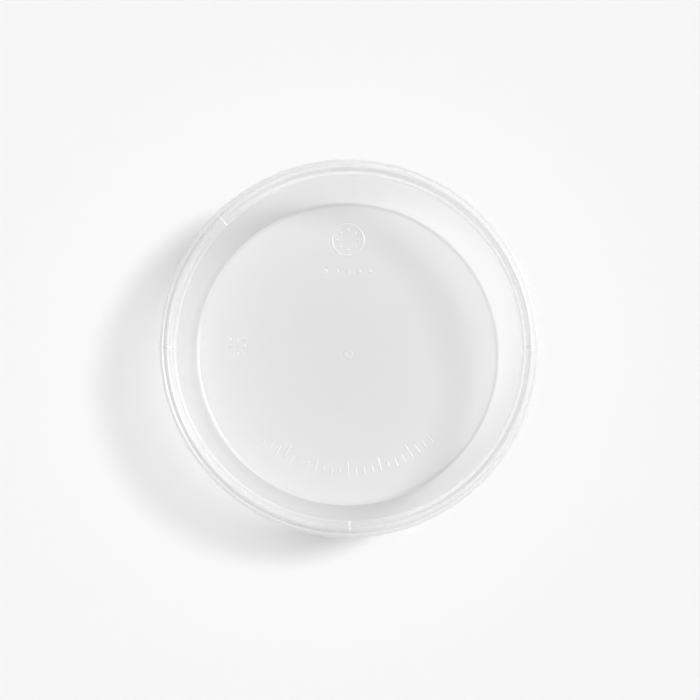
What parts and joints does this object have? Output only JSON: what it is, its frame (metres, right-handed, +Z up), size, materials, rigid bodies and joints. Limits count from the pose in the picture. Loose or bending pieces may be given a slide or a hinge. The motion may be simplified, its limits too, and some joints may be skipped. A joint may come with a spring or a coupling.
{
  "type": "plastic salad bowl",
  "caption": "Round, open takeaway bowl of milky see-through plastic, with a flat base, a tapered wall and a stepped rim with a turned-down skirt, over which a lid presses on.",
  "frame": {"origin": "middle of the base's underside, on the surface that the bowl stands on", "axes": "+Z up along the bowl's axis; +Y towards the raised ring mark on the floor, -Y towards the graduated arc, -X towards the grid of pips"},
  "size_m": [0.15, 0.15, 0.045],
  "materials": {
    "natural_plastic": "uncoloured polypropylene, milky and see-through, with a soft moulded gloss"
  },
  "bodies": {
    "root": {"bowl": "natural_plastic"}
  },
  "joints": []
}
